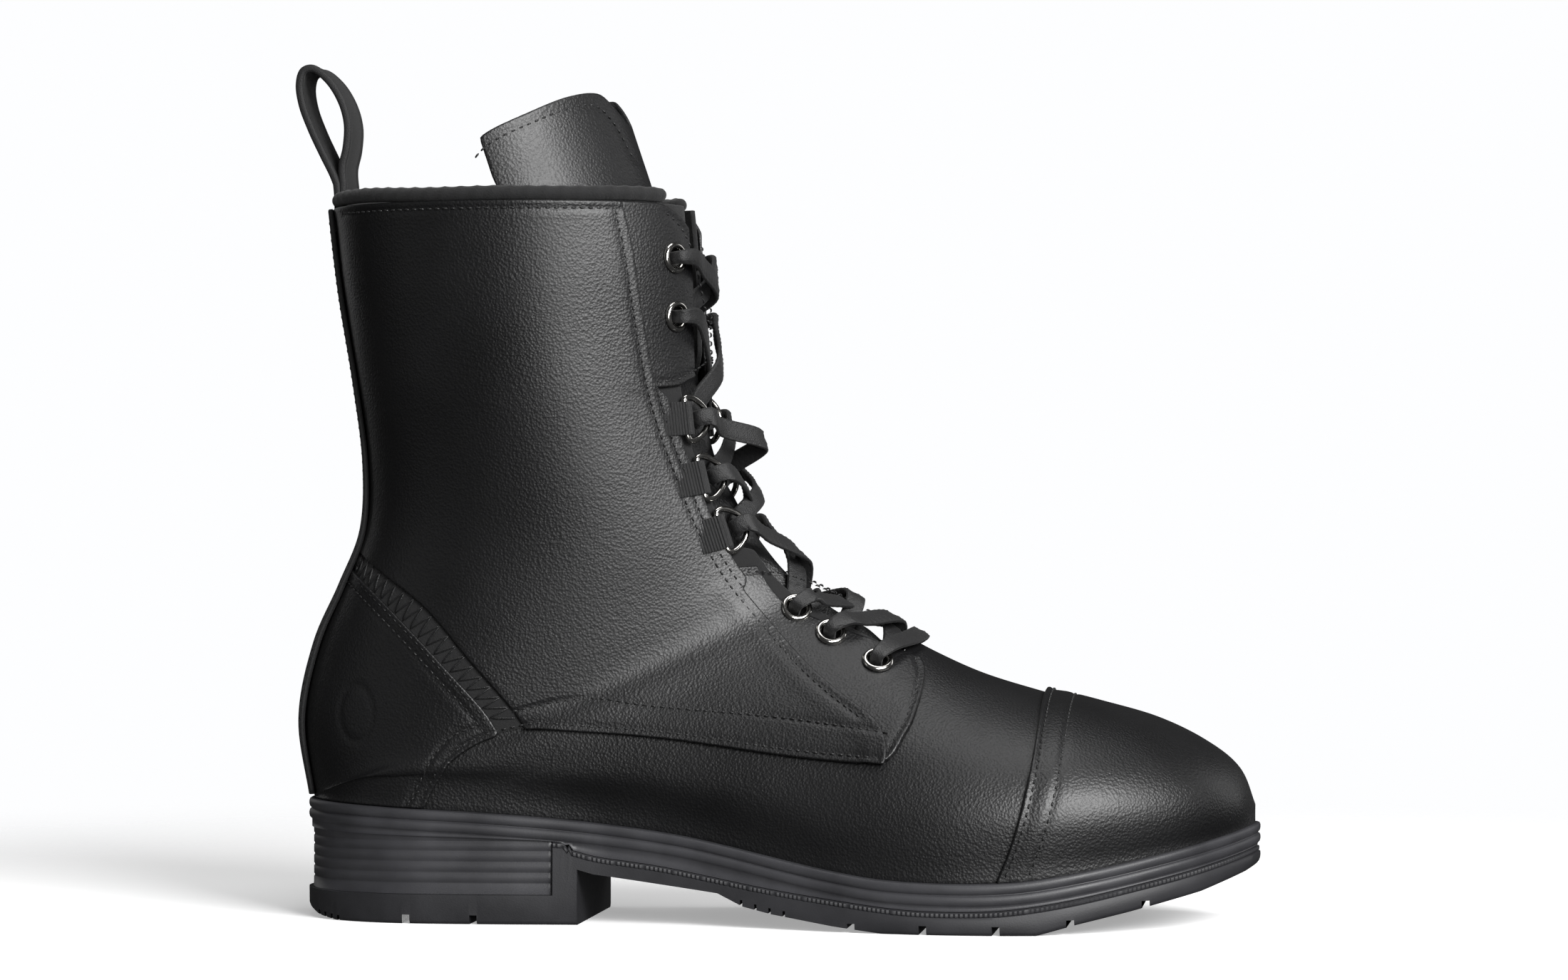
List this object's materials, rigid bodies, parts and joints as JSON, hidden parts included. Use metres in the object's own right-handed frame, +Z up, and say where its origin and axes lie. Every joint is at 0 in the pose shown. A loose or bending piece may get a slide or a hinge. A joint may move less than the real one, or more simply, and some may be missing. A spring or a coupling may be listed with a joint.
{
  "type": "fire boot",
  "caption": "Black leather lace-up fire boot for the right foot, with safety toe, D-ring and eyelet lacing, padded collar, pull loop and moulded lugged rubber sole.",
  "frame": {"origin": "centre of the boot's footprint box, on the ground under the sole", "axes": "+X towards the toe, +Y towards the inner side of the foot, +Z up"},
  "size_m": [0.3018, 0.1078, 0.267],
  "materials": {
    "upper_leather": "fine-pebbled, satin black",
    "collar_nubuck": "napped, matt black",
    "webbing": "woven, matt",
    "lining_textile": "knitted, matt",
    "nickel": "nickel plated, bright",
    "lace_braid": "flat braid",
    "aglet_plastic": "satin",
    "outsole_rubber": "moulded, matt",
    "midsole_rubber": "moulded, matt",
    "fibreboard": "pressed fibre",
    "foam": "open-cell foam, textile covered",
    "steel": "pressed sheet"
  },
  "bodies": {
    "shoe": {"aglet_1": "aglet_plastic", "aglet_2": "aglet_plastic", "ankle_padding_inner": "foam", "ankle_padding_outer": "foam", "back_strip": "webbing", "collar_roll": "collar_nubuck", "eyelet_inner_1": "nickel", "eyelet_inner_2": "nickel", "eyelet_inner_3": "nickel", "eyelet_inner_4": "nickel", "eyelet_inner_5": "nickel", "eyelet_outer_1": "nickel", "eyelet_outer_2": "nickel", "eyelet_outer_3": "nickel", "eyelet_outer_4": "nickel", "eyelet_outer_5": "nickel", "eyestay_lower_inner": "upper_leather", "eyestay_lower_outer": "upper_leather", "eyestay_upper_inner": "upper_leather", "eyestay_upper_outer": "upper_leather", "facing_backing_inner": "upper_leather", "facing_backing_outer": "upper_leather", "footbed": "foam", "heel_panel": "upper_leather", "heel_stiffener": "fibreboard", "insole_board": "fibreboard", "lace": "lace_braid", "lining_inner": "lining_textile", "lining_outer": "lining_textile", "midsole": "midsole_rubber", "outsole": "outsole_rubber", "quarter_inner": "upper_leather", "quarter_outer": "upper_leather", "ring_tab_inner_1": "webbing", "ring_tab_inner_2": "webbing", "ring_tab_inner_3": "webbing", "ring_tab_outer_1": "webbing", "ring_tab_outer_2": "webbing", "ring_tab_outer_3": "webbing", "safety_toe_cap": "steel", "shank": "steel", "toe_cap": "upper_leather", "vamp": "upper_leather", "vamp_lining": "lining_textile"},
    "d_ring_outer_1": {"d_ring_outer_1": "nickel"},
    "d_ring_outer_2": {"d_ring_outer_2": "nickel"},
    "d_ring_outer_3": {"d_ring_outer_3": "nickel"},
    "d_ring_inner_1": {"d_ring_inner_1": "nickel"},
    "d_ring_inner_2": {"d_ring_inner_2": "nickel"},
    "d_ring_inner_3": {"d_ring_inner_3": "nickel"},
    "tongue_unit": {"tongue": "upper_leather", "tongue_lining": "lining_textile"},
    "loop": {"pull_loop": "webbing"}
  },
  "joints": [
    {"name": "d_ring_outer_1_hinge", "type": "hinge", "parent": "shoe", "child": "d_ring_outer_1", "pos_m": [-0.0138, -0.01616, 0.12017], "axis": [0.3246, 0.0191, -0.9457], "range_deg": [-8, 1]},
    {"name": "d_ring_outer_2_hinge", "type": "hinge", "parent": "shoe", "child": "d_ring_outer_2", "pos_m": [-0.02022, -0.01723, 0.13674], "axis": [0.2525, -0.0663, -0.9653], "range_deg": [-8, 1]},
    {"name": "d_ring_outer_3_hinge", "type": "hinge", "parent": "shoe", "child": "d_ring_outer_3", "pos_m": [-0.02472, -0.01773, 0.15504], "axis": [0.1209, -0.0509, -0.9914], "range_deg": [-8, 1]},
    {"name": "d_ring_inner_1_hinge", "type": "hinge", "parent": "shoe", "child": "d_ring_inner_1", "pos_m": [-0.01414, 0.02295, 0.12], "axis": [-0.3109, 0.0383, 0.9497], "range_deg": [-8, 1]},
    {"name": "d_ring_inner_2_hinge", "type": "hinge", "parent": "shoe", "child": "d_ring_inner_2", "pos_m": [-0.02029, 0.0242, 0.1367], "axis": [-0.242, -0.0548, 0.9687], "range_deg": [-8, 1]},
    {"name": "d_ring_inner_3_hinge", "type": "hinge", "parent": "shoe", "child": "d_ring_inner_3", "pos_m": [-0.0247, 0.02473, 0.15505], "axis": [-0.1215, -0.0513, 0.9913], "range_deg": [-8, 1]},
    {"name": "tongue_tilt", "type": "hinge", "parent": "shoe", "child": "tongue_unit", "pos_m": [0.04, 0.0035, 0.08], "axis": [0, 1, 0], "range_deg": [-2, 0], "stiffness_Nm_per_rad": 2},
    {"name": "pull_loop_tilt", "type": "hinge", "parent": "shoe", "child": "loop", "pos_m": [-0.13637, 0.0035, 0.229], "axis": [0, 1, 0], "range_deg": [-60, 45], "stiffness_Nm_per_rad": 0.05}
  ]
}
